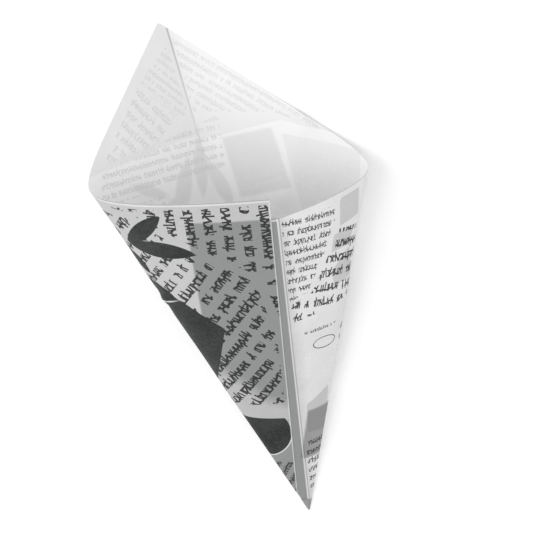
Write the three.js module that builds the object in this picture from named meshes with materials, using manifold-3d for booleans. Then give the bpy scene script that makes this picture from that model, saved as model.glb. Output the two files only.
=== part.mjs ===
// A pointed takeaway bag, folded from one sheet of greaseproof paper and glued along its front.
// It lies open on its right panel, with the tip towards -Y and the back fold along +Y.

import * as THREE from 'three';
import Module from 'manifold-3d';

const wasm = await Module();
wasm.setup();

// The sheet, in millimetres and degrees. Both panels meet at the tip, on either side of the back
// fold. Lengths along a leg are measured from the tip.
const LEFT_LEG = 190;              // mouth of the left panel, along its front edge
const RIGHT_LEG = 180.3;           // mouth of the right panel, along the seam fold
const LEFT_PANEL_ANGLE = 44.1;     // at the tip, from the back fold to the seam fold
const RIGHT_PANEL_ANGLE = 44.4;
const LEFT_MOUTH_SKEW = -0.2;      // each mouth edge is this far off square with its leg
const RIGHT_MOUTH_SKEW = -1.4;
const CUT_EDGE_TOP = 2.4;          // cut front edge back from the seam fold, at the mouth
const CUT_EDGE_FOOT = 5.3;         // and beside the tip
const FLAP_WIDTH = 40;             // glued flap under the left panel
const FLAP_FOOT = 11;              // its lower end, along the seam fold
const FLAP_TRIM_ANGLE = 29;        // its slanting trim, at the tip from the seam fold

// Glue line between the flap and the left panel
const GLUE_FROM_SEAM = 9;
const GLUE_WIDTH = 16;
const GLUE_BOTTOM = 84;
const GLUE_TOP = 168;

// Wall and the clearance that the glue fills
const WALL = 0.3;
const FLAP_CLEARANCE = 0.1;
const BITE = 0.05;                 // how far joined solids reach into each other

// The open section, 100 mm from the tip along the back fold, which lies at (0, 0) on the table
const SECTION_DISTANCE = 100;
const SEAM_SIDE = 26.9;            // seam fold to the right of the back fold
const SEAM_HEIGHT = 31.7;
const LEFT_WALL_LEAN = 38.4;       // degrees outwards from upright
const LEFT_WALL_FLAT = 20;         // flat stretches that the two round bends leave
const LEFT_FRONT_FLAT = 10;
const RIGHT_BASE_FLAT = 27;
const RIGHT_FRONT_FLAT = 5.5;

// Closed tip
const TIP_NOSE = 0.8;
const SHEET_START = 9;
const TIP_SOLID = 12;

// Mesh steps round each bend
const BEND_STEPS = 24;

const radians = THREE.MathUtils.degToRad;
const clamp = THREE.MathUtils.clamp;
const SHEET_ANGLE = radians(LEFT_PANEL_ANGLE + RIGHT_PANEL_ANGLE);
const BACK_FOLD_TURN = radians(RIGHT_PANEL_ANGLE);

// Section of one panel from the back fold round its bend to the seam fold
function panelSection(corner, backFlat, frontFlat) {
  const fold = new THREE.Vector2(0, 0);
  const seam = new THREE.Vector2(SEAM_SIDE, SEAM_HEIGHT);
  const bendStart = fold.clone().lerp(corner, backFlat / fold.distanceTo(corner));
  const bendEnd = seam.clone().lerp(corner, frontFlat / seam.distanceTo(corner));
  const bend = new THREE.QuadraticBezierCurve(bendStart, corner, bendEnd);
  return [fold, ...bend.getPoints(BEND_STEPS), seam];
}

function rayThrough(point) {
  return new THREE.Vector3(point.x, SECTION_DISTANCE, point.y).normalize();
}

function angleAcross(section) {
  const rays = section.map(rayThrough);
  return rays.slice(1).reduce((sum, ray, i) => sum + ray.angleTo(rays[i]), 0);
}

// A panel's bend reaches as far out along its heading as uses up the panel's angle
function bentPanel(heading, backFlat, frontFlat, panelAngle) {
  let near = 1.05 * backFlat;
  let far = 4 * SECTION_DISTANCE;
  for (let i = 0; i < 60; i += 1) {
    const middle = (near + far) / 2;
    const section = panelSection(heading.clone().multiplyScalar(middle), backFlat, frontFlat);
    if (angleAcross(section) < panelAngle) near = middle;
    else far = middle;
  }
  return panelSection(heading.clone().multiplyScalar(near), backFlat, frontFlat);
}

const lean = radians(LEFT_WALL_LEAN);
const leftHeading = new THREE.Vector2(-Math.sin(lean), Math.cos(lean));
const leftPanel = bentPanel(leftHeading, LEFT_WALL_FLAT, LEFT_FRONT_FLAT, radians(LEFT_PANEL_ANGLE));
const rightHeading = new THREE.Vector2(1, 0);
const rightPanel = bentPanel(rightHeading, RIGHT_BASE_FLAT, RIGHT_FRONT_FLAT, radians(RIGHT_PANEL_ANGLE));

// Rays of the whole sheet with their turn at the tip: from the seam fold over the right panel to
// the back fold, and over the left panel to the seam fold again
const rays = [...rightPanel.reverse(), ...leftPanel.slice(1)].map(rayThrough);
const turns = [0];
for (let i = 1; i < rays.length; i += 1) turns.push(turns[i - 1] + rays[i].angleTo(rays[i - 1]));

// Offset direction at each ray, which keeps the two faces beside it at the same distance
const faceNormals = rays.slice(1).map((ray, i) => ray.clone().cross(rays[i]).normalize());
const offsets = rays.map((ray, i) => {
  const before = faceNormals[(i + faceNormals.length - 1) % faceNormals.length];
  const after = faceNormals[i % faceNormals.length];
  return before.clone().add(after).divideScalar(1 + before.dot(after));
});

// Point of the sheet at a turn and a distance from the tip, raised outwards by a height. A negative
// turn is on the flap, under the left panel.
function sheetPoint(turn, distance, height) {
  const wrapped = turn < 0 ? turn + turns.at(-1) : turn;
  let k = 0;
  while (k < turns.length - 2 && turns[k + 1] < wrapped) k += 1;
  const share = clamp((wrapped - turns[k]) / (turns[k + 1] - turns[k]), 0, 1);
  const ray = rays[k].clone().lerp(rays[k + 1], share).normalize();
  const offset = offsets[k].clone().lerp(offsets[k + 1], share);
  return ray.multiplyScalar(distance).addScaledVector(offset, height);
}

// Distance from the tip to the mouth. Its two straight edges meet at the sheet's corner.
const rightSkew = radians(RIGHT_MOUTH_SKEW);
const leftSkew = radians(LEFT_MOUTH_SKEW);
const rightReach = RIGHT_LEG * Math.cos(rightSkew);
const leftReach = LEFT_LEG * Math.cos(leftSkew);

function mouthDistance(turn) {
  const right = rightReach / Math.cos(turn - rightSkew);
  const left = leftReach / Math.cos(SHEET_ANGLE - turn - leftSkew);
  return turn > BACK_FOLD_TURN / 2 ? Math.min(left, right) : right;
}

function cornerTurn() {
  const leftNormal = SHEET_ANGLE - leftSkew;
  const along = rightReach * Math.sin(leftNormal) - leftReach * Math.sin(rightSkew);
  const across = leftReach * Math.cos(rightSkew) - rightReach * Math.cos(leftNormal);
  return Math.atan2(across, along);
}

// The cut front edge is a straight line that passes beside the tip
const cutSlope = Math.atan2(CUT_EDGE_TOP - CUT_EDGE_FOOT, LEFT_LEG);
const cutPassing = CUT_EDGE_FOOT * Math.cos(cutSlope);

function cutEdgeDistance(turn) {
  return cutPassing / Math.sin(SHEET_ANGLE - turn - cutSlope);
}

function cutTopTurn() {
  let turn = SHEET_ANGLE;
  for (let i = 0; i < 20; i += 1) {
    turn = SHEET_ANGLE - cutSlope - Math.asin(cutPassing / mouthDistance(turn));
  }
  return turn;
}

// The flap's slanting trim points at the tip, and its inner edge runs on from there to the mouth, at
// one distance from the seam fold
const flapEndTurn = -radians(FLAP_TRIM_ANGLE);

function flapHigh(turn) {
  return Math.min(mouthDistance(turn), FLAP_WIDTH / Math.sin(-turn));
}

function flapCornerTurn() {
  let turn = 0;
  for (let i = 0; i < 20; i += 1) turn = -Math.asin(FLAP_WIDTH / mouthDistance(turn));
  return turn;
}

// The right panel drops under the left one at the seam fold, where it becomes the flap
const seamDrop = WALL + FLAP_CLEARANCE;

function sheetLevel(turn) {
  return -seamDrop * clamp(1 - turn / turns[1], 0, 1);
}

// One column of the sheet is a ray with three rows: its low end, the height of the flap's foot and
// its high end. It gives its point at a row, on the outer or the inner face.
const footShare = (FLAP_FOOT - SHEET_START) / (RIGHT_LEG - SHEET_START);
const ROWS = 3;

function column(turn) {
  const flap = turn < 0;
  const onLeft = turn > BACK_FOLD_TURN;
  const high = flap ? flapHigh(turn) : mouthDistance(turn);
  const start = onLeft ? Math.min(high, Math.max(SHEET_START, cutEdgeDistance(turn))) : SHEET_START;
  const foot = flap ? FLAP_FOOT : THREE.MathUtils.lerp(start, high, footShare);
  const distances = [start, foot, high];
  const pointed = high - start < 1e-6;
  return {
    pointed,
    point: (row, top) => sheetPoint(turn, distances[pointed ? 2 : row], sheetLevel(turn) + (top ? WALL : 0)),
  };
}

function makeSolid(points, triangles) {
  const mesh = new wasm.Mesh({
    numProp: 3,
    vertProperties: new Float32Array(points),
    triVerts: new Uint32Array(triangles),
  });
  return new wasm.Manifold(mesh);
}

// A solid of two faces from columns, with side walls wherever a neighbouring cell is absent. A
// pointed column has one point for all its rows.
function sheetSolid(columns, rowCount, present) {
  const points = [];
  const triangles = [];
  const index = new Map();
  const vertex = (i, j, top) => {
    const key = `${i} ${columns[i].pointed ? 0 : j} ${top}`;
    if (!index.has(key)) {
      index.set(key, points.length / 3);
      points.push(...columns[i].point(j, top).toArray());
    }
    return index.get(key);
  };
  const triangle = (a, b, c) => {
    if (a !== b && b !== c && c !== a) triangles.push(a, b, c);
  };
  const quad = (a, b, c, d) => {
    triangle(a, b, c);
    triangle(a, c, d);
  };
  const has = (i, j) => i >= 0 && j >= 0 && i < columns.length - 1 && j < rowCount - 1 && present(i, j);
  for (let i = 0; i < columns.length - 1; i += 1) {
    for (let j = 0; j < rowCount - 1; j += 1) {
      if (!has(i, j)) continue;
      const ring = [[i, j], [i + 1, j], [i + 1, j + 1], [i, j + 1]];
      const beyond = [[i, j - 1], [i + 1, j], [i, j + 1], [i - 1, j]];
      quad(...ring.map(([u, v]) => vertex(u, v, true)));
      quad(...ring.map(([u, v]) => vertex(u, v, false)).reverse());
      for (let side = 0; side < 4; side += 1) {
        if (has(...beyond[side])) continue;
        const start = ring[side];
        const end = ring[(side + 1) % 4];
        quad(vertex(...end, true), vertex(...start, true), vertex(...start, false), vertex(...end, false));
      }
    }
  }
  return makeSolid(points, triangles);
}

// The folded sheet with its flap
function buildSheet() {
  const ends = [flapEndTurn, flapCornerTurn(), cornerTurn(), cutTopTurn()];
  const underLeft = turns.map((turn) => turn - turns.at(-1)).filter((turn) => turn > flapEndTurn);
  const ordered = [...underLeft, ...turns, ...ends].sort((a, b) => a - b);
  const kept = ordered.filter((turn, i) => turn <= cutTopTurn() && (i === 0 || turn - ordered[i - 1] > 1e-5));
  const columns = kept.map(column);
  const seam = kept.findIndex((turn) => turn > -1e-5);
  return sheetSolid(columns, ROWS, (i, j) => i >= seam || j > 0);
}

// The glue line fills the clearance between the flap and the left panel
function buildGlue() {
  const first = -Math.atan2(GLUE_FROM_SEAM + GLUE_WIDTH, RIGHT_LEG);
  const last = -Math.atan2(GLUE_FROM_SEAM, RIGHT_LEG);
  const between = turns.map((turn) => turn - turns.at(-1)).filter((turn) => turn > first && turn < last);
  const columns = [first, ...between, last].map((turn) => ({
    pointed: false,
    point: (row, top) => sheetPoint(turn, row ? GLUE_TOP : GLUE_BOTTOM, top ? BITE : -FLAP_CLEARANCE - BITE),
  }));
  return sheetSolid(columns, 2, () => true);
}

// The folds close the tip into a solid point
function buildTip() {
  const around = turns.slice(0, -1);
  const count = around.length;
  const points = [];
  for (const distance of [TIP_NOSE, TIP_SOLID]) {
    for (const turn of around) {
      points.push(...sheetPoint(turn, distance, sheetLevel(turn) + WALL - BITE).toArray());
    }
  }
  const centre = sheetPoint(0, TIP_SOLID, 0).lerp(sheetPoint(BACK_FOLD_TURN, TIP_SOLID, 0), 0.5);
  points.push(0, 0, 0, ...centre.toArray());
  const nose = 2 * count;
  const cap = nose + 1;
  const triangles = [];
  for (let i = 0; i < count; i += 1) {
    const next = (i + 1) % count;
    triangles.push(i, next, count + next, i, count + next, count + i);
    triangles.push(nose, next, i, cap, count + i, count + next);
  }
  return makeSolid(points, triangles);
}

const solid = buildSheet().add(buildGlue()).add(buildTip());

function toGeometry(manifold) {
  const { vertProperties, triVerts } = manifold.getMesh();
  const geometry = new THREE.BufferGeometry();
  geometry.setAttribute('position', new THREE.BufferAttribute(new Float32Array(vertProperties), 3));
  geometry.setIndex(Array.from(triVerts));
  geometry.computeVertexNormals();
  return geometry;
}

const paper = new THREE.MeshStandardMaterial({ color: 0xc9cdca, roughness: 0.62, metalness: 0 });
const bag = new THREE.Mesh(toGeometry(solid), paper);
bag.name = 'cone_bag';

// The origin is under the middle of the bag, on the table
const bounds = new THREE.Box3().setFromObject(bag);
const middle = bounds.getCenter(new THREE.Vector3());
bag.position.set(-middle.x, -middle.y, -bounds.min.z);

const group = new THREE.Group();
group.add(bag);

export default group;
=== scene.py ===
import bpy
import numpy as np
from mathutils import Matrix, Vector


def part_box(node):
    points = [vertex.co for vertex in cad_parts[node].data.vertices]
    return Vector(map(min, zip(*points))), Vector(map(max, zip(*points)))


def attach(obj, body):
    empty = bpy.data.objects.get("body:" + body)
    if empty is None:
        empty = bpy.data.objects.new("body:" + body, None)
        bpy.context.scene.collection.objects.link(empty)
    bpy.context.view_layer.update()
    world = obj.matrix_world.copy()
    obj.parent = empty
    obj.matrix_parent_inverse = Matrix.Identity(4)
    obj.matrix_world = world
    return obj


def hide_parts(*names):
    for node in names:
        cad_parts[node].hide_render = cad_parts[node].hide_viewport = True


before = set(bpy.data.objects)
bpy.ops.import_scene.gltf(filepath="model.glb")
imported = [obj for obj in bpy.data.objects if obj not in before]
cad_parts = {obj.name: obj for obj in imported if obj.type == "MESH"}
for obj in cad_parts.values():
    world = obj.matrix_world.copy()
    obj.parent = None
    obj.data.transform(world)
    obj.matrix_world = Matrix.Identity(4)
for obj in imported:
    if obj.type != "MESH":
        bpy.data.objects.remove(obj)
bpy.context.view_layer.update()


# The folded sheet. One piece of greaseproof paper makes the whole bag: two panels that meet at the tip
# on either side of the back fold, and a flap beyond the seam fold, tucked under the left panel and
# glued to it. It is worked out flat, in millimetres, and then carried onto the open cone.
MM = 0.001
LEFT_LEG = 190.0
RIGHT_LEG = 180.3
LEFT_ANGLE = np.radians(44.1)
RIGHT_ANGLE = np.radians(44.4)
SHEET_ANGLE = LEFT_ANGLE + RIGHT_ANGLE
LEFT_SKEW = np.radians(-0.2)
RIGHT_SKEW = np.radians(-1.4)
CUT_EDGE_TOP = 2.4
CUT_EDGE_FOOT = 5.3
FLAP_WIDTH = 40.0
FLAP_TRIM = np.radians(29.0)
PAPER = 0.16
LAP_GAP = 0.06

# The open section, 100 mm up from the tip. Each panel leaves both its folds straight and bends in
# between: a heading is the way from the back fold to the bend, and the flats are the straight ends.
SECTION = 100.0
SEAM = np.array([26.9, 31.7])
LEFT_HEADING = np.radians(128.4)
RIGHT_HEADING = 0.0
LEFT_FLATS = (20.0, 10.0)
RIGHT_FLATS = (27.0, 5.5)
NEAREST_BEND = 1.05
FARTHEST_BEND = 4.0
HALVINGS = 50
BEND_STEPS = 80
FOLD_ROUND = 0.55
FOLD_STEPS = 5


def curve_through(start, corner, end, steps):
    """A parabola from start to end that leaves and arrives along the lines through the corner. Its
    points weigh the three by (1 - share) squared, 2 share (1 - share) and share squared."""
    share = np.linspace(0, 1, steps)[:, None]
    return (1 - share) ** 2 * start + 2 * share * (1 - share) * corner + share ** 2 * end


def panel_section(corner, flats):
    """Straight from the back fold for the first flat, round the corner, and straight to the seam."""
    start = corner * flats[0] / np.linalg.norm(corner)
    end = SEAM + (corner - SEAM) * flats[1] / np.linalg.norm(corner - SEAM)
    return np.vstack([[0.0, 0.0], curve_through(start, corner, end, BEND_STEPS), SEAM])


def rays_through(points):
    """Unit vectors from the tip through the points of a section that stands SECTION along +Y."""
    lines = np.column_stack([points[:, 0], np.full(len(points), SECTION), points[:, 1]])
    return lines / np.linalg.norm(lines, axis=1)[:, None]


def angles_between(lines):
    """The angle between each unit vector and the next: arccos of their dot product."""
    return np.arccos(np.clip((lines[1:] * lines[:-1]).sum(1), -1, 1))


def bent_section(heading, flats, angle):
    """A panel's section, whose rays add up to its flat angle. Halving the stretch between the nearest
    and the farthest place finds how far the corner of its bend stands along the heading."""
    way = np.array([np.cos(heading), np.sin(heading)])
    near, far = NEAREST_BEND * flats[0], FARTHEST_BEND * SECTION
    for _ in range(HALVINGS):
        middle = (near + far) / 2
        short = angles_between(rays_through(panel_section(way * middle, flats))).sum() < angle
        near, far = (middle, far) if short else (near, middle)
    return panel_section(way * near, flats)


def rounded(fold, before, after):
    """A pressed fold isn't a knife edge: a short parabola takes the place of its corner."""
    start = fold + (before - fold) * FOLD_ROUND / np.linalg.norm(before - fold)
    end = fold + (after - fold) * FOLD_ROUND / np.linalg.norm(after - fold)
    return curve_through(start, fold, end, 2 * FOLD_STEPS + 1)


left_section = bent_section(LEFT_HEADING, LEFT_FLATS, LEFT_ANGLE)
right_section = bent_section(RIGHT_HEADING, RIGHT_FLATS, RIGHT_ANGLE)[::-1]
seam_round = rounded(SEAM, left_section[-2], right_section[1])
back_round = rounded(left_section[0], right_section[-2], left_section[1])
section = np.vstack([seam_round[FOLD_STEPS:], right_section[1:-1], back_round,
                     left_section[1:-1], seam_round[:FOLD_STEPS + 1]])

# A place on the sheet is a turn and a distance. The turn is its angle at the tip from the seam fold, on
# the flat sheet: the right panel comes first, then the left, and the flap's turns are negative.
rays = rays_through(section)
turns = np.concatenate([[0.0], np.cumsum(angles_between(rays))]) * SHEET_ANGLE / angles_between(rays).sum()

# Out from the wall at each ray, with the length that keeps its thickness: the normals n and m of the
# faces on both sides give (n + m) / (1 + n.m).
normals = np.cross(rays[1:], rays[:-1])
normals /= np.linalg.norm(normals, axis=1)[:, None]
before = np.vstack([normals[-1], normals])
after = np.vstack([normals, normals[0]])
offsets = (before + after) / (1 + (before * after).sum(1))[:, None]

cut_slope = np.arctan2(CUT_EDGE_TOP - CUT_EDGE_FOOT, LEFT_LEG)


def mouth_distance(turn):
    """How far from the tip the sheet ends in the direction of each turn: a straight mouth edge across
    each leg, leg cos(skew) / cos(angle to the leg - skew), and the nearer of the two."""
    right = RIGHT_LEG * np.cos(RIGHT_SKEW) / np.cos(turn - RIGHT_SKEW)
    left = LEFT_LEG * np.cos(LEFT_SKEW) / np.cos(SHEET_ANGLE - turn - LEFT_SKEW)
    return np.where(turn > RIGHT_ANGLE / 2, np.minimum(left, right), right)


def cut_edge_turn(distance):
    """The turn at which the cut edge, a straight line that passes beside the tip, is that far away."""
    return SHEET_ANGLE - cut_slope - np.arcsin(CUT_EDGE_FOOT * np.cos(cut_slope) / distance)


def plan_of(turn, distance):
    """The flat sheet seen from outside, with the tip at the origin and the back fold straight up:
    distance times the sine and the cosine of the angle from the back fold."""
    return np.stack([distance * np.sin(turn - RIGHT_ANGLE), distance * np.cos(turn - RIGHT_ANGLE)], -1)


def turned(points, angle):
    """Points of a plan turned about its origin, by the usual sine and cosine rule."""
    cosine, sine = np.cos(angle), np.sin(angle)
    across, upward = points[..., 0], points[..., 1]
    return np.stack([across * cosine - upward * sine, across * sine + upward * cosine], -1)


def off_line(points, start, end):
    """Distance of the points from a straight stretch."""
    along = end - start
    share = np.clip((points - start) @ along / (along @ along), 0, 1)
    return np.linalg.norm(points - start - share[..., None] * along, axis=-1)


# How the paper departs from a true cone. It cockles gently all over, a kink crosses the left bend, a
# soft valley runs down inside the right panel, and the right bend is drawn in. A wave is given by its
# radians per millimetre across and up the plan, and by its start.
COCKLE = 0.20
COCKLE_FULL_AT = 150.0
SLOW_WAVES = ((0.061, 0.033, 0.7), (0.027, -0.052, 1.9))
QUICK_WAVES = ((0.13, -0.071, 0.4), (0.058, 0.117, 0.0))
QUICK_SHARE = 0.5
KINK = (np.array([-68.0, 131.0]), np.array([-50.0, 138.0]))
KINK_RISE, KINK_WIDTH = 0.7, 2.2
KINK_DIP, DIP_BESIDE, DIP_WIDTH = 0.25, 5.0, 3.0
VALLEY = (np.array([-54.0, 202.0]), np.array([-34.0, 168.0]))
VALLEY_DEPTH, VALLEY_WIDTH = 1.1, 6.0
BEND_SQUEEZE = 2.6
BEND_MIDDLE = np.radians(16.0)
BEND_SPREAD = np.radians(8.0)
REST_START = 0.45 * RIGHT_ANGLE
REST_FADE_IN = 0.1
REST_FADE_OUT = 0.02
LAP_STEP = np.radians(3.0)


def hump(away, width):
    """A smooth hump, the exponential of minus (away / width) squared."""
    return np.exp(-(away / width) ** 2)


def crossed_waves(plan, waves):
    """Two straight waves multiplied, each the sine of across x + up y + start."""
    crossed = 1.0
    for across, up, start in waves:
        crossed = crossed * np.sin(across * plan[..., 0] + up * plan[..., 1] + start)
    return crossed


def relief(turn, distance):
    """Height above the cone: crossed waves that grow from the tip, a hump or a dip along each crease,
    and the drawn-in bend, which is a dip that grows with the distance."""
    plan = plan_of(turn, distance)
    cockle = crossed_waves(plan, SLOW_WAVES) + QUICK_SHARE * crossed_waves(plan, QUICK_WAVES)
    off_kink = off_line(turned(plan, LEFT_ANGLE), *KINK)
    creases = KINK_RISE * hump(off_kink, KINK_WIDTH) - KINK_DIP * hump(off_kink - DIP_BESIDE, DIP_WIDTH)
    creases = creases - VALLEY_DEPTH * hump(off_line(plan, *VALLEY), VALLEY_WIDTH)
    squeeze = BEND_SQUEEZE * distance / RIGHT_LEG * hump(turn - BEND_MIDDLE, BEND_SPREAD)
    return COCKLE * np.clip(plan[..., 1] / COCKLE_FULL_AT, 0, 1) * cockle + creases - squeeze


def resting(turn):
    """1 on the stretch of the right panel that lies on the floor, fading to 0 on both sides of it."""
    fade_in = np.clip((turn - REST_START) / REST_FADE_IN, 0, 1)
    return fade_in * np.clip((RIGHT_ANGLE + REST_FADE_OUT - turn) / REST_FADE_OUT, 0, 1)


def carried(turn, distance, height):
    """Points of the open bag before it is set down: the ray at the turn times the distance, and out
    from the wall by the height and the relief, which nowhere stands out on the resting stretch."""
    wrapped = np.where(turn < 0, turn + SHEET_ANGLE, turn)
    ray = np.stack([np.interp(wrapped, turns, rays[:, axis]) for axis in range(3)], -1)
    ray /= np.linalg.norm(ray, axis=-1)[..., None]
    offset = np.stack([np.interp(wrapped, turns, offsets[:, axis]) for axis in range(3)], -1)
    rise = relief(wrapped, distance)
    rise = np.where(rise > 0, rise * (1 - resting(wrapped)), rise)
    return ray * distance[..., None] + offset * (height + rise)[..., None]


def level_of(turn):
    """The sheet drops by its own thickness at the seam fold, to go on under the left panel."""
    return -(PAPER + LAP_GAP) * np.clip(1 - turn / LAP_STEP, 0, 1)


FLAP_COLUMNS = 36
PANEL_COLUMNS = 140
FOLD_COLUMNS = 6
FOLD_ZONE = np.radians(0.5)
ROWS = 112
SHEET_START = 8.4
CORNER_STEPS = 20
SHARP_FOLD = np.radians(50)


def spread(start, end, count):
    """Columns between two folds, with a few close together beside each fold."""
    near = np.linspace(0, FOLD_ZONE, FOLD_COLUMNS, endpoint=False)
    middle = np.linspace(FOLD_ZONE, end - start - FOLD_ZONE, count - 2 * FOLD_COLUMNS)
    return np.concatenate([start + near, start + middle, end - near[::-1]])


def flap_columns():
    """Turn and reach of the flap's columns, from its slanting trim to the seam fold. Its reach is the
    mouth edge or, where that is nearer, the straight inner edge, width / sin(turn)."""
    corner = np.arcsin(FLAP_WIDTH / RIGHT_LEG)
    turn = -np.concatenate([np.linspace(FLAP_TRIM, corner, FLAP_COLUMNS // 2, endpoint=False),
                            np.linspace(corner, FOLD_ZONE, FLAP_COLUMNS // 2, endpoint=False),
                            np.linspace(FOLD_ZONE, 0, FOLD_COLUMNS, endpoint=False)])
    return turn, np.minimum(mouth_distance(turn), FLAP_WIDTH / np.sin(-turn))


def left_panel(row):
    """Turn and distance over the left panel. The turn of the cut edge at the mouth's distance, taken
    again and again, finds the corner where the two meet. The last column lies on the cut edge."""
    top = SHEET_ANGLE
    for _ in range(CORNER_STEPS):
        top = cut_edge_turn(mouth_distance(np.array(top)))
    share = (spread(RIGHT_ANGLE, float(top), PANEL_COLUMNS)[1:, None] - RIGHT_ANGLE) / (top - RIGHT_ANGLE)
    reach = mouth_distance(RIGHT_ANGLE + share * (top - RIGHT_ANGLE))
    on_cut_edge = SHEET_START + row * (reach[-1] - SHEET_START)
    turn = RIGHT_ANGLE + share * (cut_edge_turn(on_cut_edge) - RIGHT_ANGLE)
    return turn, SHEET_START + row * (reach - SHEET_START)


def sheet_grid():
    """Turn and distance of every point of the sheet: columns from the flap's inner edge, round the
    right and the left panel, to the cut edge, and rows from the tip to the mouth."""
    row = np.linspace(0, 1, ROWS)[None, :]
    flap, flap_reach = flap_columns()
    right = spread(0, RIGHT_ANGLE, PANEL_COLUMNS)
    columns = np.concatenate([flap, right])[:, None]
    reach = np.concatenate([flap_reach, mouth_distance(right)])[:, None]
    left_turn, left_distance = left_panel(row)
    turn = np.vstack([columns + 0 * row, left_turn])
    distance = np.vstack([SHEET_START + row * (reach - SHEET_START), left_distance])
    return turn, distance


def closed_faces(columns, rows):
    """Faces of a thin sheet: the outer grid, the inner grid turned over, and the rim between them."""
    grid = np.arange(columns * rows).reshape(columns, rows)
    outer = np.stack([grid[:-1, :-1], grid[1:, :-1], grid[1:, 1:], grid[:-1, 1:]], -1).reshape(-1, 4)
    inner = outer[:, ::-1] + columns * rows
    ring = np.concatenate([grid[:-1, 0], grid[-1, :-1], grid[:0:-1, -1], grid[0, :0:-1]])
    onward = np.roll(ring, -1)
    rim = np.stack([onward, ring, ring + columns * rows, onward + columns * rows], -1)
    return outer, inner, rim


def paper_mesh(name, points, faces):
    """A smooth mesh in metres. The cut edges stay sharp, and the rounded folds don't."""
    mesh = bpy.data.meshes.new(name)
    mesh.from_pydata(points * MM, [], faces)
    mesh.polygons.foreach_set("use_smooth", np.ones(len(mesh.polygons), dtype=bool))
    mesh.set_sharp_from_angle(angle=SHARP_FOLD)
    return mesh


def shown(name, made_of):
    """An object that holds a mesh, a lamp or a camera, in the scene."""
    made = bpy.data.objects.new(name, made_of)
    bpy.context.collection.objects.link(made)
    return made


turn, distance = sheet_grid()
level = level_of(turn)
bag_points = np.concatenate([carried(turn, distance, level + PAPER).reshape(-1, 3),
                             carried(turn, distance, level).reshape(-1, 3)])

# It is set down on the floor, in the middle of the solid from side to side, with its tip where that is.
cad_low, cad_high = np.array(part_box("cone_bag")) / MM
low, high = bag_points.min(0), bag_points.max(0)
set_down = np.array([(cad_low[0] + cad_high[0] - low[0] - high[0]) / 2, cad_low[1], -low[2]])

outer_faces, inner_faces, rim_faces = closed_faces(*turn.shape)
all_faces = np.concatenate([outer_faces, inner_faces, rim_faces]).tolist()
sheet_mesh = paper_mesh("folded_sheet", bag_points + set_down, all_faces)
OUTSIDE, INSIDE, EDGE = 0, 1, 2
finish_of_face = np.repeat([OUTSIDE, INSIDE, EDGE], [len(outer_faces), len(inner_faces), len(rim_faces)])
sheet_mesh.polygons.foreach_set("material_index", finish_of_face.astype(np.int32))
folded_sheet = shown("folded_sheet", sheet_mesh)

# The print on the outside is grey and black ink, as torn pieces of newsprint laid over each other: rows
# of small marks in blocks at several slants, plain dark and grey fields, leaves and a pen loop. It is
# laid out flat, in millimetres. LEFT and RIGHT have the seam fold straight up as it is seen from
# outside, and BACK is the sheet as it is seen from inside, with the back fold straight up.
LEFT, RIGHT, BACK = "left", "right", "back"
flat_plan = plan_of(turn, distance).reshape(-1, 2)
places = {
    LEFT: turned(flat_plan, LEFT_ANGLE),
    RIGHT: turned(flat_plan, -RIGHT_ANGLE),
    BACK: flat_plan * [-1, 1],
}

# Each block of rows: its side, the rows' slant in degrees, their spacing, the weight of the marks, and
# its corners. The rows start at the first corner.
ROW_BLOCKS = [
    (LEFT, 90, 8.3, 1.2, [(-1.6, 116), (-1.6, 188.5), (-96, 188.5), (-66, 184), (-11, 150)]),
    (LEFT, 52, 8.6, 1.2, [(-5, 75), (-5, 115), (-12, 149), (-66, 183), (-84, 184), (-84, 120), (-44, 72)]),
    (LEFT, 64, 5.2, 1.1, [(-4, 12), (-4, 37), (-13, 37), (-24, 30), (-12, 12)]),
    (RIGHT, -17, 7.4, 1.1, [(1, 122), (1, 134), (13, 137), (31, 164), (46, 160), (40, 122)]),
    (RIGHT, -8, 5.0, 0.9, [(0.6, 134), (0.6, 180), (31, 177), (30, 165), (12, 136)]),
    (RIGHT, -8, 6.0, 0.9, [(1, 14), (1, 50), (17, 50), (6, 14)]),
    (RIGHT, -8, 3.6, 0.8, [(6, 113), (7, 117.5), (28, 114.5), (27, 110)]),
    (BACK, -58, 5.6, 0.9, [(-56, 205), (-24, 237), (-6, 218), (-28, 204)]),
    (BACK, -50, 3.6, 0.9, [(-24, 238), (-1, 253), (-1, 215), (-6, 216)]),
    (BACK, -3, 4.6, 0.9, [(-66, 186), (-56, 204), (14, 214), (10, 187)]),
    (BACK, -44, 4.0, 0.9, [(0, 256), (74, 184), (40, 206), (14, 213), (0, 216)]),
    (BACK, -2, 5.6, 0.9, [(-78, 150), (-66, 185), (-26, 185), (-34, 128)]),
    (BACK, 24, 6.4, 1.0, [(-32, 120), (-26, 168), (4, 168), (4, 70), (-14, 60)]),
    (BACK, -30, 6.4, 1.0, [(6, 70), (6, 164), (60, 150), (54, 96), (18, 52)]),
]
BLOCK_MARGIN = 1.1
BLOCK_SHIFT = 13.0
DARK_FIELDS = [
    (LEFT, [(-77, 150), (-60, 146), (-30, 122), (-34, 106), (-40, 84), (-64, 80), (-96, 112)]),
]
SHADE_FIELDS = [
    (BACK, [(16, 34), (30, 62), (44, 52), (28, 26)]),
    (BACK, [(12, 171), (11, 202), (37, 201), (39, 170)]),
]
GREY_FIELDS_AND_PEAK_SHADE = [
    (LEFT, [(-13, 38), (-3, 38), (-3, 50), (-9, 52)]),
    (RIGHT, [(4, 54), (5, 72), (19, 77), (17, 50)]),
    (RIGHT, [(27, 133), (25, 142), (38, 150), (40, 133)]),
    (RIGHT, [(26, 152), (28, 161), (42, 160), (38, 152)]),
    (RIGHT, [(32, 164), (33, 178), (46, 178), (46, 164)]),
    (BACK, [(41, 158), (41, 197), (78, 180), (74, 160)]),
    (BACK, [(-58, 128), (-40, 150), (-20, 132), (-40, 108)]),
    # Painted shade: this last field darkens the sheet round the peak, outside and, through the paper,
    # inside.
    (BACK, [(-70, 203), (-6, 206), (8, 203), (42, 203), (72, 188), (40, 240), (0, 265), (-40, 240)]),
]
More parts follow.
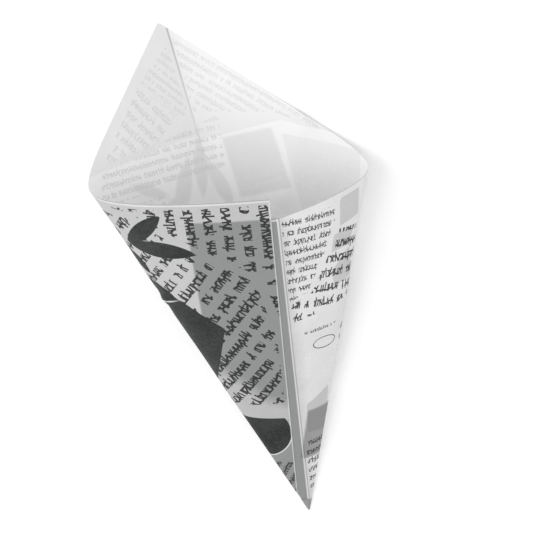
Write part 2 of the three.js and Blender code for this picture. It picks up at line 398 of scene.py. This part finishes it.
# Painted shade: the left panel's outside is painted darker all over, as it is turned away from the light.
# The pale field paints a patch, over part of the overlap, most of the way back to that tone.
LEFT_PANEL_SHADE_FIELD = [(LEFT, [(6, -4), (6, 196), (-110, 196), (-92, 130), (-40, 20)])]
PALE_FIELD = [(LEFT, [(-60, 60), (-60, 84), (-34, 98), (-24, 90), (-14, 80), (4, 74), (4, 60)])]

# Each leaf: its side, its middle, half its length, half its width and its slant. So is the loop.
LEAVES = [
    (LEFT, (-61, 176), 13, 4.0, 40),
    (LEFT, (-54, 166), 17, 4.2, -7),
    (LEFT, (-67, 157), 8, 2.6, -52),
]
SHADOW_LEAVES = [
    (BACK, (-16, 184), 16, 4.5, 62),
    (BACK, (-4, 190), 15, 4.0, 78),
    (BACK, (-24, 176), 13, 4.5, 22),
    (BACK, (4, 180), 14, 4.0, 104),
    (BACK, (-34, 188), 12, 3.0, -32),
]
PEN_LOOP = [(RIGHT, (18.5, 104.5), 7.0, 3.0, -12)]
LEAST_REACH = 0.05
DISC_AT = np.array([-22.0, 57.0])
DISC_RADIUS = 17.5
DISC_TOP = 66.0
RIM_UNDER_TOP = 3.0
NOWHERE, EVERYWHERE = -9.0, 9.0
FAR_AWAY = 30.0
BEYOND_SEAM = 4.0
SHADE_AT_TIP = 0.412


def inside_outline(points, corners):
    """Distance to the nearest side of the outline. It is positive where a line drawn sideways from the
    point crosses an odd number of sides, which is inside the outline, and negative elsewhere."""
    corners = np.array(corners, dtype=float)
    nearest = np.full(len(points), np.inf)
    within = np.zeros(len(points), dtype=bool)
    for here, there in zip(corners, np.roll(corners, -1, axis=0)):
        nearest = np.minimum(nearest, off_line(points, here, there))
        crosses = (here[1] > points[:, 1]) != (there[1] > points[:, 1])
        rise = there[1] - here[1] if there[1] != here[1] else 1.0
        side_at = here[0] + (points[:, 1] - here[1]) * (there[0] - here[0]) / rise
        within ^= crosses & (points[:, 0] < side_at)
    return np.where(within, nearest, -nearest)


def inside_leaf(points, middle, length, width, slant):
    """Within two equal arcs that meet in points at both ends: the smaller of radius - distance, with
    the radius (length squared + width squared) / (2 width)."""
    local = turned(points - np.array(middle, dtype=float), -np.radians(slant))
    radius = (length ** 2 + width ** 2) / (2 * width)
    away = radius - width
    upper = radius - np.hypot(local[:, 0], local[:, 1] + away)
    lower = radius - np.hypot(local[:, 0], local[:, 1] - away)
    return np.minimum(upper, lower)


def inside_oval(points, middle, length, width, slant):
    """Nearly the distance inside an oval: 1 - reach over how fast the reach grows, where the reach is
    the distance from the middle in half lengths and half widths, 1 on the outline. A least reach
    keeps the middle itself from dividing by nothing."""
    local = turned(points - np.array(middle, dtype=float), -np.radians(slant))
    reach = np.hypot(local[:, 0] / length, local[:, 1] / width)
    growth = np.hypot(local[:, 0] / length ** 2, local[:, 1] / width ** 2) / np.maximum(reach, LEAST_REACH)
    return (1 - reach) / growth


def covered(shape, items):
    """How far inside any one of the items each point lies: the largest of their distances."""
    return np.max([shape(places[side], *measures) for side, *measures in items], axis=0)


def store(name, values):
    """Keeps one value, or one vector, on each point of the sheet, the same on both its sides."""
    both = np.concatenate([values, values]).astype(np.float32)
    kind, slot = ("FLOAT", "value") if both.ndim == 1 else ("FLOAT_VECTOR", "vector")
    layer = sheet_mesh.attributes.new(name, kind, "POINT")
    layer.data.foreach_set(slot, both.ravel())


# A point takes its rows from the block that it lies deepest in. They run along x, one row to each whole
# number of y, and z is their weight. There are none on the flap.
on_panels = turn.ravel() >= 0
on_left_panel = turn.ravel() > RIGHT_ANGLE
room = np.full(len(flat_plan), NOWHERE)
row_place = np.zeros((len(flat_plan), 3))
for number, (side, slant, spacing, weight, corners) in enumerate(ROW_BLOCKS):
    depth = inside_outline(places[side], corners)
    along = turned(places[side] - np.array(corners[0]), -np.radians(slant)) / spacing
    along = along + BLOCK_SHIFT * number
    chosen = depth > room
    room = np.where(chosen, depth, room)
    row_place[chosen] = np.column_stack([along, np.full(len(along), weight)])[chosen]
store("room", np.where(on_panels, room - BLOCK_MARGIN, NOWHERE))
store("row_place", row_place)

in_disc = DISC_RADIUS - np.linalg.norm(places[LEFT] - DISC_AT, axis=1)
below_top = DISC_TOP - places[LEFT][:, 1]
fields_and_leaves = np.maximum(covered(inside_outline, DARK_FIELDS), covered(inside_leaf, LEAVES))
store("dark", np.maximum(fields_and_leaves, np.minimum(in_disc, below_top)))
store("disc_edge", np.where(below_top < RIM_UNDER_TOP, NOWHERE, in_disc))
store("grey", covered(inside_outline, GREY_FIELDS_AND_PEAK_SHADE))
store("shade", np.maximum(covered(inside_outline, SHADE_FIELDS), covered(inside_leaf, SHADOW_LEAVES)))
store("left_panel_shade", covered(inside_outline, LEFT_PANEL_SHADE_FIELD))
store("pale", covered(inside_outline, PALE_FIELD))
store("pen_loop", covered(inside_oval, PEN_LOOP))

# Painted shade: where two layers of paper lie together, over the flap on the left panel and all over the
# flap, they are painted darker, as light shining through from behind shows them.
flap_foot = FLAP_WIDTH / np.tan(FLAP_TRIM)
flap_outline = [(BEYOND_SEAM, 0), (0, 0), (-FLAP_WIDTH, flap_foot), (-FLAP_WIDTH, RIGHT_LEG),
                (BEYOND_SEAM, RIGHT_LEG)]
over_flap = np.where(on_left_panel, inside_outline(places[LEFT], flap_outline), NOWHERE)
store("two_layers", np.where(on_panels, over_flap, EVERYWHERE))

# Distances from the sheet's own edges, from its folds, and across and past the ends of the kink. On the
# left panel the seam's distance is a share of the tip's, so that its painted soft shade closes round the
# tip.
to_cut_edge = (distance * np.sin(cut_edge_turn(distance) - turn)).ravel()
seam_share = np.where(turn > RIGHT_ANGLE, SHADE_AT_TIP, np.sin(turn))
store("mouth", (mouth_distance(turn) - distance).ravel())
store("cut", np.where(on_left_panel, to_cut_edge, FAR_AWAY))
store("beside_seam", (distance * seam_share).ravel())
store("beside_back", (distance * np.sin(turn - RIGHT_ANGLE)).ravel())
kink_length = np.linalg.norm(KINK[1] - KINK[0])
kink_way = (KINK[1] - KINK[0]) / kink_length
from_kink = places[LEFT] - KINK[0]
store("kink", from_kink @ np.array([-kink_way[1], kink_way[0]]))
store("past_kink", np.abs(from_kink @ kink_way - kink_length / 2) - kink_length / 2)


# The finish is thin greaseproof paper, calendered to a satin, with a cloudy fibre and a few fine
# creases. Its white inside lets the print show through.
def node(tree, kind, **settings):
    """A new node with its settings."""
    made = tree.nodes.new(kind)
    for name, value in settings.items():
        setattr(made, name, value)
    return made


def feed(tree, socket, value):
    """Links a socket's input, or writes a plain value on it."""
    if isinstance(value, bpy.types.NodeSocket):
        tree.links.new(value, socket)
    else:
        socket.default_value = value


def calc(tree, operation, *values):
    """One sum of the Math node."""
    made = node(tree, "ShaderNodeMath", operation=operation)
    for socket, value in zip(made.inputs, values):
        feed(tree, socket, value)
    return made.outputs[0]


def above(tree, value, limit):
    """1 where the value is over the limit, and 0 elsewhere."""
    return calc(tree, "GREATER_THAN", value, limit)


def point(tree, x, y, z=0.0):
    """A vector from three values."""
    made = node(tree, "ShaderNodeCombineXYZ")
    for socket, value in zip(made.inputs, (x, y, z)):
        feed(tree, socket, value)
    return made.outputs[0]


def stored(tree, name, output="Fac"):
    """A value, or with output Vector a vector, that is kept on the sheet's points."""
    return node(tree, "ShaderNodeAttribute", attribute_name=name).outputs[output]


def cloud(tree, place, scale, detail):
    """Soft noise from 0 to 1."""
    made = node(tree, "ShaderNodeTexNoise")
    feed(tree, made.inputs["Vector"], place)
    feed(tree, made.inputs["Scale"], scale)
    feed(tree, made.inputs["Detail"], detail)
    return made.outputs["Fac"]


def cell_edges(tree, place, scale, dimensions):
    """Distance from the nearest edge between the cells of a Voronoi pattern."""
    made = node(tree, "ShaderNodeTexVoronoi", feature="DISTANCE_TO_EDGE", voronoi_dimensions=dimensions)
    feed(tree, made.inputs["Vector"], place)
    feed(tree, made.inputs["Scale"], scale)
    return made.outputs["Distance"]


def dice(tree, place):
    """Three random numbers that stay the same all over one place."""
    made = node(tree, "ShaderNodeTexWhiteNoise", noise_dimensions="3D")
    feed(tree, made.inputs["Vector"], place)
    split = node(tree, "ShaderNodeSeparateColor")
    tree.links.new(made.outputs["Color"], split.inputs[0])
    return split.outputs[0], split.outputs[1], split.outputs[2]


# The Mix node has inputs and outputs of the same names for each kind of data. These are its colours.
MIX_UNDER, MIX_TOP, MIXED = 6, 7, 2


def over(tree, mask, under, top):
    """The top colour where the mask is 1, and the one under it where it is 0."""
    made = node(tree, "ShaderNodeMix", data_type="RGBA")
    feed(tree, made.inputs[0], mask)
    feed(tree, made.inputs[MIX_UNDER], under)
    feed(tree, made.inputs[MIX_TOP], top)
    return made.outputs[MIXED]


def ranged(tree, value, low, high, new_low=0.0, new_high=1.0):
    """A value carried from one range to another and held inside it."""
    made = node(tree, "ShaderNodeMapRange")
    for socket, number in zip(made.inputs, (value, low, high, new_low, new_high)):
        feed(tree, socket, number)
    return made.outputs[0]


def line(tree, value, at, half, reach, strength):
    """A line where the value is near at: its whole strength within half of it, and none past reach."""
    off = calc(tree, "ABSOLUTE", calc(tree, "SUBTRACT", value, at))
    return ranged(tree, off, half, reach, strength, 0.0)


def field(tree, name, low, high, strength):
    """A stored distance as a mask: nothing below low, and the strength above high."""
    return ranged(tree, stored(tree, name), low, high, 0.0, strength)


def new_group(name, inputs, outputs):
    """An empty shader node group with named sockets, and its two end nodes."""
    tree = bpy.data.node_groups.new(name, "ShaderNodeTree")
    for word, kind in inputs:
        tree.interface.new_socket(word, in_out="INPUT", socket_type=kind)
    for word, kind in outputs:
        tree.interface.new_socket(word, in_out="OUTPUT", socket_type=kind)
    return tree, node(tree, "NodeGroupInput"), node(tree, "NodeGroupOutput")


def use_group(tree, group, **values):
    """Places a group, feeds its inputs and gives its outputs."""
    made = node(tree, "ShaderNodeGroup", node_tree=group)
    for name, value in values.items():
        feed(tree, made.inputs[name], value)
    return made.outputs


FLOAT, VECTOR = "NodeSocketFloat", "NodeSocketVector"

# The row marks' sizes are in row spacings. A web of strokes fills a band along the row, leaning stems
# cross it, a few of them stand out above or below it, and some steps stay bare.
ROW_SEED = 3.7
ROW_SLIDE = 11.0
ROW_MIDDLE = 0.46
STROKE_STEP = 0.33
STROKE_HIGH = 0.46
WEB_PER_ROW = 7.3
WEB_HALF = 0.125
BAND_HALF = 0.25
STEM_HALF = 0.040
STEM_LEAN = 0.5
STEM_OVER = 0.17
RISES_ABOVE = 0.72
DROPS_BELOW = 0.12
GAP_SHARE = 0.14


def printed_rows():
    """Ink, 1 or 0, of small slanting marks that hold no letter. Place is x along the rows, y across
    them and z the weight. Each row slides by a number of its own, so that no two are alike."""
    tree, start, end = new_group("printed_rows", [("Place", VECTOR)], [("Ink", FLOAT)])
    split = node(tree, "ShaderNodeSeparateXYZ")
    tree.links.new(start.outputs["Place"], split.inputs[0])
    along, across, weight = split.outputs
    row = calc(tree, "FLOOR", across)
    row_dice = dice(tree, point(tree, row, ROW_SEED))
    slid = calc(tree, "ADD", along, calc(tree, "MULTIPLY", row_dice[0], ROW_SLIDE))
    steps = calc(tree, "DIVIDE", slid, STROKE_STEP)
    step = calc(tree, "FLOOR", steps)
    upward = calc(tree, "SUBTRACT", calc(tree, "SUBTRACT", across, row), ROW_MIDDLE)
    bare_dice, lean_dice, stem_dice = dice(tree, point(tree, step, row))

    web_up = calc(tree, "DIVIDE", upward, STROKE_HIGH)
    web_place = point(tree, steps, calc(tree, "ADD", web_up, calc(tree, "MULTIPLY", row, WEB_PER_ROW)))
    web_edge = cell_edges(tree, web_place, 1.0, "2D")
    strokes = calc(tree, "LESS_THAN", web_edge, calc(tree, "MULTIPLY", weight, WEB_HALF))
    in_band = calc(tree, "LESS_THAN", calc(tree, "ABSOLUTE", upward), BAND_HALF)
    strokes = calc(tree, "MULTIPLY", strokes, in_band)

    from_middle = calc(tree, "SUBTRACT", calc(tree, "SUBTRACT", steps, step), 0.5)
    sideways = calc(tree, "MULTIPLY", from_middle, STROKE_STEP)
    lean = calc(tree, "SUBTRACT", calc(tree, "MULTIPLY", lean_dice, STEM_LEAN), STEM_LEAN / 2)
    off_stem = calc(tree, "ABSOLUTE", calc(tree, "ADD", sideways, calc(tree, "MULTIPLY", upward, lean)))
    stems = calc(tree, "LESS_THAN", off_stem, calc(tree, "MULTIPLY", weight, STEM_HALF))
    rises = calc(tree, "MULTIPLY", above(tree, stem_dice, RISES_ABOVE), STEM_OVER)
    drops = calc(tree, "MULTIPLY", calc(tree, "LESS_THAN", stem_dice, DROPS_BELOW), STEM_OVER)
    under_head = calc(tree, "LESS_THAN", upward, calc(tree, "ADD", BAND_HALF, rises))
    over_foot = above(tree, calc(tree, "ADD", upward, calc(tree, "ADD", BAND_HALF, drops)), 0.0)
    stems = calc(tree, "MULTIPLY", stems, calc(tree, "MULTIPLY", under_head, over_foot))

    marks = calc(tree, "MAXIMUM", strokes, stems)
    marks = calc(tree, "MULTIPLY", marks, above(tree, bare_dice, GAP_SHARE))
    tree.links.new(marks, end.inputs["Ink"])
    return tree


# The fibre's patterns are counted per metre, and each has its share of the cloud or of the bump.
BROAD_CLOUD, BROAD_DETAIL = 45.0, 4.0
FINE_CLOUD, FINE_DETAIL = 900.0, 2.0
WIRE_MARKS, WIRE_DETAIL = 260.0, 3.0
FINE_CREASES = 38.0
CREASE_WIDTH = 0.05
BROAD_SHARE, FINE_SHARE = 0.6, 0.4
WIRE_BUMP, CREASE_BUMP, BROAD_BUMP = 0.5, 0.18, 1.2
SATIN = (0.3, 0.7, 0.44, 0.60)
BUMP_STRENGTH = 0.5
BUMP_HEIGHT = 0.0009


def greaseproof_fibre():
    """A cloud of broad and fine noise, a satin roughness that follows the wire marks, and a bump of
    wire marks, faint cell-shaped creases and broad waves, each times its share."""
    outputs = [("Cloud", FLOAT), ("Roughness", FLOAT), ("Normal", VECTOR)]
    tree, start, end = new_group("greaseproof_fibre", [("Place", VECTOR)], outputs)
    place = start.outputs["Place"]
    broad = cloud(tree, place, BROAD_CLOUD, BROAD_DETAIL)
    fine = cloud(tree, place, FINE_CLOUD, FINE_DETAIL)
    wire_marks = cloud(tree, place, WIRE_MARKS, WIRE_DETAIL)
    broad_part = calc(tree, "MULTIPLY", broad, BROAD_SHARE)
    fine_part = calc(tree, "MULTIPLY", fine, FINE_SHARE)
    tree.links.new(calc(tree, "ADD", broad_part, fine_part), end.inputs["Cloud"])
    tree.links.new(ranged(tree, wire_marks, *SATIN), end.inputs["Roughness"])
    creases = ranged(tree, cell_edges(tree, place, FINE_CREASES, "3D"), 0.0, CREASE_WIDTH)
    wire_height = calc(tree, "MULTIPLY", wire_marks, WIRE_BUMP)
    height = calc(tree, "ADD", wire_height, calc(tree, "MULTIPLY", creases, CREASE_BUMP))
    height = calc(tree, "ADD", height, calc(tree, "MULTIPLY", broad, BROAD_BUMP))
    bump = node(tree, "ShaderNodeBump")
    feed(tree, bump.inputs["Strength"], BUMP_STRENGTH)
    feed(tree, bump.inputs["Distance"], BUMP_HEIGHT)
    feed(tree, bump.inputs["Height"], height)
    tree.links.new(bump.outputs[0], end.inputs["Normal"])
    return tree


rows_group = printed_rows()
fibre_group = greaseproof_fibre()
PAPER_SPECULAR = 0.22


def grey_of(level, green=0, blue=0):
    """A near-neutral colour from its sRGB level, 0 to 255, with a little more green or blue."""
    shown_as = (level + np.array([0, green, blue])) / 255
    linear = np.where(shown_as <= 0.04045, shown_as / 12.92, ((shown_as + 0.055) / 1.055) ** 2.4)
    return (*linear.tolist(), 1.0)


def new_finish(name):
    """A paper material, its tree, its Principled shader and its fibre on object coordinates."""
    material = bpy.data.materials.new(name)
    material.use_nodes = True
    tree = material.node_tree
    shader = tree.nodes["Principled BSDF"]
    feed(tree, shader.inputs["Specular IOR Level"], PAPER_SPECULAR)
    place = node(tree, "ShaderNodeTexCoord").outputs["Object"]
    return material, tree, shader, use_group(tree, fibre_group, Place=place)


def dress(tree, shader, fibre, colour):
    """The colour on the shader, with the fibre's own roughness and bump."""
    feed(tree, shader.inputs["Base Color"], colour)
    feed(tree, shader.inputs["Roughness"], fibre["Roughness"])
    feed(tree, shader.inputs["Normal"], fibre["Normal"])


def row_ink(tree):
    """The rows' ink, where a block has room for it."""
    ink = use_group(tree, rows_group, Place=stored(tree, "row_place", "Vector"))["Ink"]
    return calc(tree, "MULTIPLY", ink, above(tree, stored(tree, "room"), 0.0))


INK = grey_of(22, 2, 1)
DARK_INK = grey_of(30, 5, 2)
DARK_INK_THIN = grey_of(48, 5, 2)
ONE_LAYER = grey_of(236)
# Painted shade of the left panel, which is turned away from the light.
LEFT_PANEL_SHADE_TONE = grey_of(196, 1)
# Painted shade of the two layers, darkened as if lit through from behind.
TWO_LAYERS_SHADE = grey_of(144, 1, 1)
GREY = grey_of(150)
SHADE = grey_of(110)
CUT_EDGE_PALE = grey_of(222)
# The disc's printed pale rim, and the painted highlights of the mouth and the seam fold.
PALE_RIM_AND_HIGHLIGHT = grey_of(236)
# Painted shade along the seam fold and the mouth's edge.
FOLD_SHADE = grey_of(112)
FIBRE_SHADE = grey_of(120)

# Each field on the outside: its stored distance, where its edge starts and ends, its strength and its
# tone. Each rim, highlight, line, edge, groove and crease: where it lies, half its full width, how far
# it reaches, and its strength. Each fade, shade, cover and mottle: a range, and what it becomes. The
# highlights, grooves and shades of the mouth, the kink and the seam fold are painted light and shade.
OUTSIDE_FIELDS = [
    ("left_panel_shade", -0.3, 0.3, 1.0, LEFT_PANEL_SHADE_TONE),
    ("two_layers", -0.5, 0.5, 1.0, TWO_LAYERS_SHADE),
    ("pale", -2.0, 6.0, 0.8, LEFT_PANEL_SHADE_TONE),
    ("grey", -0.15, 0.15, 0.4, GREY),
    ("shade", -0.4, 0.8, 0.7, SHADE),
]
DARK_EDGE = 0.12
PEN_HALF = 0.22
DISC_RIM = (-0.35, 0.2, 0.45, 0.8)
KINK_HIGHLIGHT = (0.0, 0.2, 0.6, 0.75)
KINK_FADE = (-4.0, 1.0, 1.0, 0.0)
CUT_EDGE_LINE = (0.0, 0.3, 0.7, 0.75)
MOUTH_RIM_HIGHLIGHT = (0.95, 0.25, 0.6, 0.7)
MOUTH_EDGE_SHADE = (0.0, 0.2, 0.5, 0.5)
SEAM_HIGHLIGHT = (0.0, 0.15, 0.45, 0.55)
SEAM_GROOVE_SHADE = (0.8, 0.15, 0.5, 0.6)
SEAM_SHADE = (1.0, 7.0, 0.22, 0.0)
INK_COVER = (0.3, 0.6, 0.86, 1.0)
DARK_COVER = (0.35, 0.65)
OUTSIDE_MOTTLE = (0.35, 0.65, 0.0, 0.16)


def printed_outside():
    """Paper tones, with the painted shade of the left panel and of the two layers, then the ink, the
    dark fields and the painted highlights and shades of the edges, the kink and the folds over them,
    and the cloudy fibre over all."""
    material, tree, shader, fibre = new_finish("printed_outside")
    colour = ONE_LAYER
    for name, low, high, strength, tone in OUTSIDE_FIELDS:
        colour = over(tree, field(tree, name, low, high, strength), colour, tone)

    pen_ink = calc(tree, "LESS_THAN", calc(tree, "ABSOLUTE", stored(tree, "pen_loop")), PEN_HALF)
    ink = calc(tree, "MAXIMUM", row_ink(tree), pen_ink)
    ink = calc(tree, "MULTIPLY", ink, ranged(tree, fibre["Cloud"], *INK_COVER))
    colour = over(tree, ink, colour, INK)
    colour = over(tree, line(tree, stored(tree, "disc_edge"), *DISC_RIM), colour, PALE_RIM_AND_HIGHLIGHT)
    dark_tone = over(tree, ranged(tree, fibre["Cloud"], *DARK_COVER), DARK_INK, DARK_INK_THIN)
    colour = over(tree, field(tree, "dark", -DARK_EDGE, DARK_EDGE, 1.0), colour, dark_tone)

    # Painted highlight along the ridge of the kink, in the plain paper colour, fading past its ends.
    kink_highlight = line(tree, stored(tree, "kink"), *KINK_HIGHLIGHT)
    kink_highlight = calc(tree, "MULTIPLY", kink_highlight, ranged(tree, stored(tree, "past_kink"), *KINK_FADE))
    colour = over(tree, kink_highlight, colour, ONE_LAYER)
    # A thin pale line along the left panel's cut edge.
    colour = over(tree, line(tree, stored(tree, "cut"), *CUT_EDGE_LINE), colour, CUT_EDGE_PALE)
    mouth = stored(tree, "mouth")
    # Painted highlight where the mouth's edge catches the light, and a painted shade line along the very
    # edge.
    colour = over(tree, line(tree, mouth, *MOUTH_RIM_HIGHLIGHT), colour, PALE_RIM_AND_HIGHLIGHT)
    colour = over(tree, line(tree, mouth, *MOUTH_EDGE_SHADE), colour, FOLD_SHADE)

    # Painted shade beside the seam fold: a dark groove line and a soft band, and a painted highlight on
    # the fold itself.
    seam = stored(tree, "beside_seam")
    seam_shade = calc(tree, "MULTIPLY", ranged(tree, seam, *SEAM_SHADE), above(tree, seam, 0.0))
    seam_shade = calc(tree, "MAXIMUM", seam_shade, line(tree, seam, *SEAM_GROOVE_SHADE))
    colour = over(tree, seam_shade, colour, FOLD_SHADE)
    colour = over(tree, line(tree, seam, *SEAM_HIGHLIGHT), colour, PALE_RIM_AND_HIGHLIGHT)
    colour = over(tree, ranged(tree, fibre["Cloud"], *OUTSIDE_MOTTLE), colour, FIBRE_SHADE)
    dress(tree, shader, fibre, colour)
    return material


WHITE_INSIDE = grey_of(251)
SEEN_THROUGH = grey_of(116)
CREASE_SHADE = grey_of(70)
INSIDE_SHADE = grey_of(150)
ROWS_THROUGH = 0.27
FIELDS_THROUGH = [
    # The grey fields bring the painted shade at the peak to the inside too.
    ("grey", -0.3, 0.3, 0.09),
    ("shade", -0.5, 1.0, 0.16),
    ("dark", -0.3, 0.3, 0.34),
]
BACK_CREASE_SHADE = (0.0, 0.15, 0.6, 0.5)
CREASE_FADE = (0.0, 75.0, 1.0, 0.0)
INSIDE_MOTTLE = (0.3, 0.7, 0.0, 0.06)


def plain_inside():
    """White paper with the outside's print showing through it, the strongest of the rows and fields at
    each place, and the painted shade of the back fold's crease, which fades away from the mouth."""
    material, tree, shader, fibre = new_finish("plain_inside")
    through = calc(tree, "MULTIPLY", row_ink(tree), ROWS_THROUGH)
    for name, low, high, strength in FIELDS_THROUGH:
        through = calc(tree, "MAXIMUM", through, field(tree, name, low, high, strength))
    colour = over(tree, through, WHITE_INSIDE, SEEN_THROUGH)
    # Painted shade in the valley of the back fold, fading away from the mouth.
    crease = line(tree, stored(tree, "beside_back"), *BACK_CREASE_SHADE)
    crease = calc(tree, "MULTIPLY", crease, ranged(tree, stored(tree, "mouth"), *CREASE_FADE))
    colour = over(tree, crease, colour, CREASE_SHADE)
    colour = over(tree, ranged(tree, fibre["Cloud"], *INSIDE_MOTTLE), colour, INSIDE_SHADE)
    dress(tree, shader, fibre, colour)
    return material


EDGE_TONES = grey_of(236), grey_of(214)


def cut_edge():
    """The pale sheared edge, too thin for a bump."""
    material, tree, shader, fibre = new_finish("cut_edge")
    feed(tree, shader.inputs["Base Color"], over(tree, fibre["Cloud"], *EDGE_TONES))
    feed(tree, shader.inputs["Roughness"], fibre["Roughness"])
    return material


for finish in (printed_outside(), plain_inside(), cut_edge()):
    sheet_mesh.materials.append(finish)
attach(folded_sheet, "root")
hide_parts("cone_bag")


# The pressed tip. Below the open cone the folded layers of paper lie flat on each other and end in a
# sharp point, held by the folds alone. It is one small closed piece of the same paper, whose rings
# follow the cone, with a fan of faces over both ends.
TIP_NOSE = 0.8
TIP_TOP = 8.8
TIP_ROWS = 10
TIP_RAY_STEP = 2
TIP_TONES = grey_of(158), grey_of(138)
tip_rays = turns[:-1:TIP_RAY_STEP]
tip_turn, tip_distance = np.meshgrid(tip_rays, np.linspace(TIP_NOSE, TIP_TOP, TIP_ROWS), indexing="ij")
tip_grid = carried(tip_turn, tip_distance, np.full(tip_turn.shape, PAPER))
tip_middles = np.stack([tip_grid[:, 0].mean(0), tip_grid[:, -1].mean(0)])
tip_points = np.concatenate([tip_grid.reshape(-1, 3), tip_middles]) + set_down
nose_middle = tip_turn.size
top_middle = nose_middle + 1
ring = np.arange(tip_turn.size).reshape(tip_turn.shape)
onward = np.roll(ring, -1, axis=0)
walls = np.stack([ring[:, :-1], onward[:, :-1], onward[:, 1:], ring[:, 1:]], -1).reshape(-1, 4).tolist()
nose = [[nose_middle, there, here] for here, there in zip(ring[:, 0].tolist(), onward[:, 0].tolist())]
top = [[top_middle, here, there] for here, there in zip(ring[:, -1].tolist(), onward[:, -1].tolist())]
tip_mesh = paper_mesh("pressed_tip", tip_points, walls + nose + top)
pressed_tip = shown("pressed_tip", tip_mesh)
pressed_paper, tree, shader, fibre = new_finish("pressed_paper")
dress(tree, shader, fibre, over(tree, fibre["Cloud"], *TIP_TONES))
tip_mesh.materials.append(pressed_paper)
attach(pressed_tip, "root")
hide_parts("cone_bag")


# The floor. A plain matt white board lies under the bag and keeps its soft shadow. Its own glow, which
# only the camera sees, makes it white in the picture without more light on the bag.
FLOOR_HALF = 1.0
FLOOR_WHITE = (0.86, 0.86, 0.86, 1.0)
FLOOR_ROUGHNESS = 0.9
FLOOR_GLOW = 0.2
WHITE = (1.0, 1.0, 1.0, 1.0)
floor_corners = FLOOR_HALF * np.array([(-1, -1, 0), (1, -1, 0), (1, 1, 0), (-1, 1, 0)])
floor_mesh = bpy.data.meshes.new("floor")
floor_mesh.from_pydata(floor_corners, [], [(0, 1, 2, 3)])
floor = shown("floor", floor_mesh)
white_floor = bpy.data.materials.new("white_floor")
white_floor.use_nodes = True
tree = white_floor.node_tree
shader = tree.nodes["Principled BSDF"]
seen_by_camera = node(tree, "ShaderNodeLightPath").outputs["Is Camera Ray"]
feed(tree, shader.inputs["Base Color"], FLOOR_WHITE)
feed(tree, shader.inputs["Roughness"], FLOOR_ROUGHNESS)
feed(tree, shader.inputs["Emission Color"], WHITE)
feed(tree, shader.inputs["Emission Strength"], calc(tree, "MULTIPLY", seen_by_camera, FLOOR_GLOW))
floor_mesh.materials.append(white_floor)


# The studio light. Two square soft lamps stand above the bag, one on each side, and the white room
# round them gives the rest. The camera sees that room at full white.
LIT_POINT = Vector((0, 0, 0.02))
ROOM_LEVEL = 0.70


def soft_lamp(name, at, size, power):
    """A square lamp that faces the middle of the bag, in metres and watts."""
    lamp = bpy.data.lights.new(name, "AREA")
    lamp.size = size
    lamp.energy = power
    made = shown(name, lamp)
    made.location = at
    made.rotation_euler = (LIT_POINT - Vector(at)).to_track_quat("-Z", "Y").to_euler()


soft_lamp("key_lamp", (0.9, -0.25, 0.75), 0.7, 2.4)
soft_lamp("fill_lamp", (-0.7, 0.2, 0.85), 1.0, 6.2)
room_light = bpy.data.worlds.new("studio")
room_light.use_nodes = True
tree = room_light.node_tree
sky = tree.nodes["Background"]
seen_by_camera = node(tree, "ShaderNodeLightPath").outputs["Is Camera Ray"]
feed(tree, sky.inputs["Color"], WHITE)
feed(tree, sky.inputs["Strength"], ranged(tree, seen_by_camera, 0.0, 1.0, ROOM_LEVEL, 1.0))
bpy.context.scene.world = room_light
bpy.context.scene.view_settings.view_transform = "Standard"


# The camera. It looks down on the bag at the photograph's viewing angle, from 457 mm above the floor.
# Its focal length is given in the photograph's pixels.
PHOTO_SIDE = 533
FOCAL_PIXELS = 1000.0
SENSOR = 36.0
CAMERA_AT = Vector((157.6, 108.25, 456.8))
LOOK = Vector((-0.3311, -0.2108, -0.9197)).normalized()
UP = Vector((0.1928, 0.939, -0.2846))
camera_data = bpy.data.cameras.new("camera")
camera_data.sensor_width = SENSOR
camera_data.lens = SENSOR * FOCAL_PIXELS / PHOTO_SIDE
camera = shown("camera", camera_data)
right = LOOK.cross(UP).normalized()
facing = Matrix((right, right.cross(LOOK), -LOOK)).transposed().to_4x4()
camera.matrix_world = Matrix.Translation(CAMERA_AT * MM) @ facing
bpy.context.scene.camera = camera
